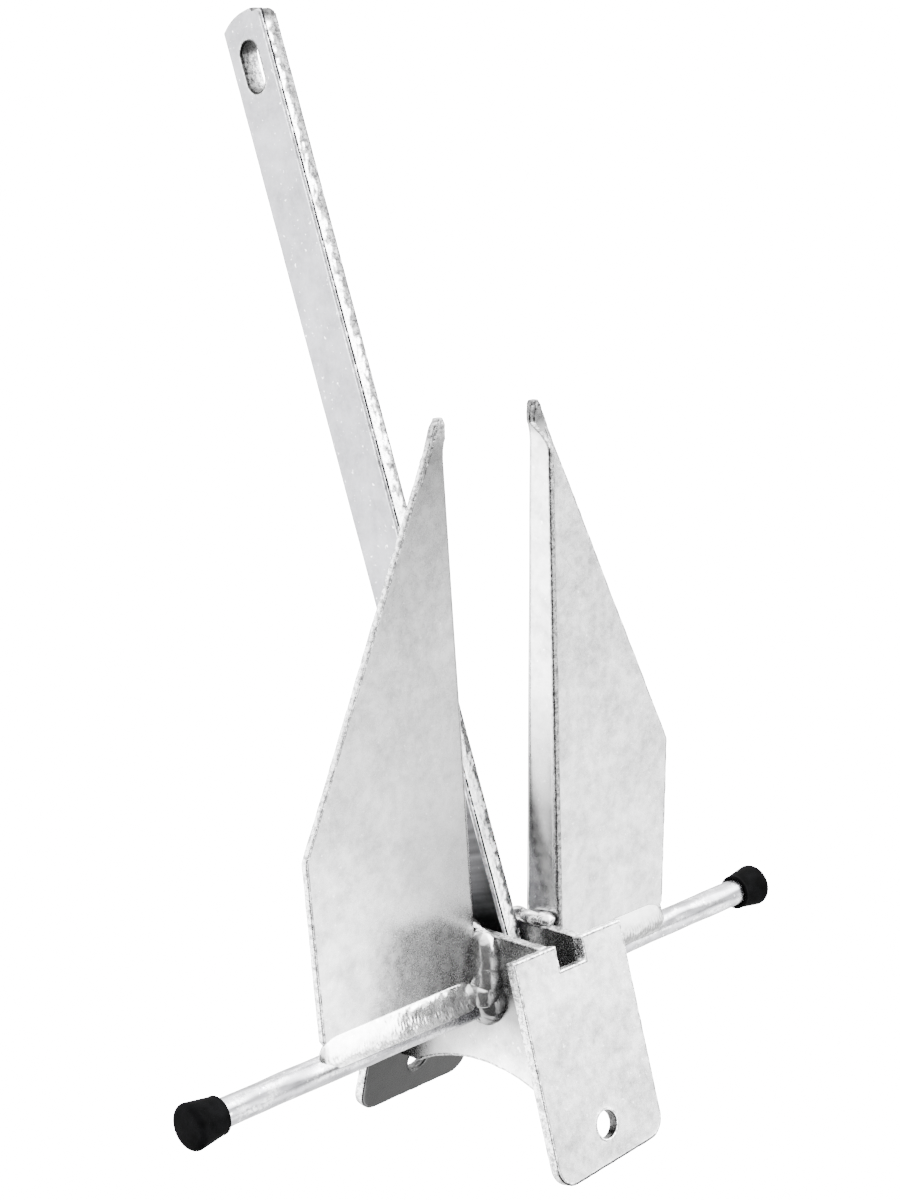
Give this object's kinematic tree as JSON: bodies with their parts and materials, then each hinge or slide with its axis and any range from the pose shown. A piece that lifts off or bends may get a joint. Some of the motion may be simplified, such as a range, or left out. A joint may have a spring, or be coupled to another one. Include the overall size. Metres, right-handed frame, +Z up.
{
  "type": "boat anchor",
  "caption": "Hinged plate anchor: two folded flukes on a welded crown and stock, with a flat shank that swings between them.",
  "frame": {"origin": "on the ground, under the middle of the anchor's box, with the anchor standing on its crown plates", "axes": "+X along the stock to the right, +Z up the way the flukes point, and the shank leans towards +Y"},
  "size_m": [0.456, 0.272, 0.6146],
  "materials": {
    "zinc_plate": "hot-dip galvanised plate, pale mottled zinc",
    "zinc_bar": "hot-dip galvanised bar, bright where it is rough",
    "zinc_weld": "galvanised weld bead, rippled and shiny",
    "rubber": "black moulded rubber, satin"
  },
  "bodies": {
    "crown": {"stock_rod": "zinc_bar", "end_cap_left": "rubber", "end_cap_right": "rubber", "fluke_left": "zinc_plate", "fluke_right": "zinc_plate", "cheek_left": "zinc_plate", "cheek_right": "zinc_plate", "crown_plate_front": "zinc_plate", "crown_plate_back": "zinc_plate", "weld_fluke_left_front": "zinc_weld", "weld_fluke_left_back": "zinc_weld", "weld_fluke_right_front": "zinc_weld", "weld_fluke_right_back": "zinc_weld", "weld_root_left": "zinc_weld", "weld_root_right": "zinc_weld", "weld_flange_left": "zinc_weld", "weld_flange_right": "zinc_weld", "weld_stock_left": "zinc_weld", "weld_stock_right": "zinc_weld", "weld_seam_front_left": "zinc_weld", "weld_seam_front_right": "zinc_weld", "weld_seam_back_left": "zinc_weld", "weld_seam_back_right": "zinc_weld"},
    "shank": {"shank": "zinc_bar"}
  },
  "joints": [
    {"name": "shank_swing", "type": "hinge", "parent": "crown", "child": "shank", "pos_m": [0, -0.05569, 0.07974], "axis": [1, 0, 0], "range_deg": [-21.6, 58.4]}
  ]
}
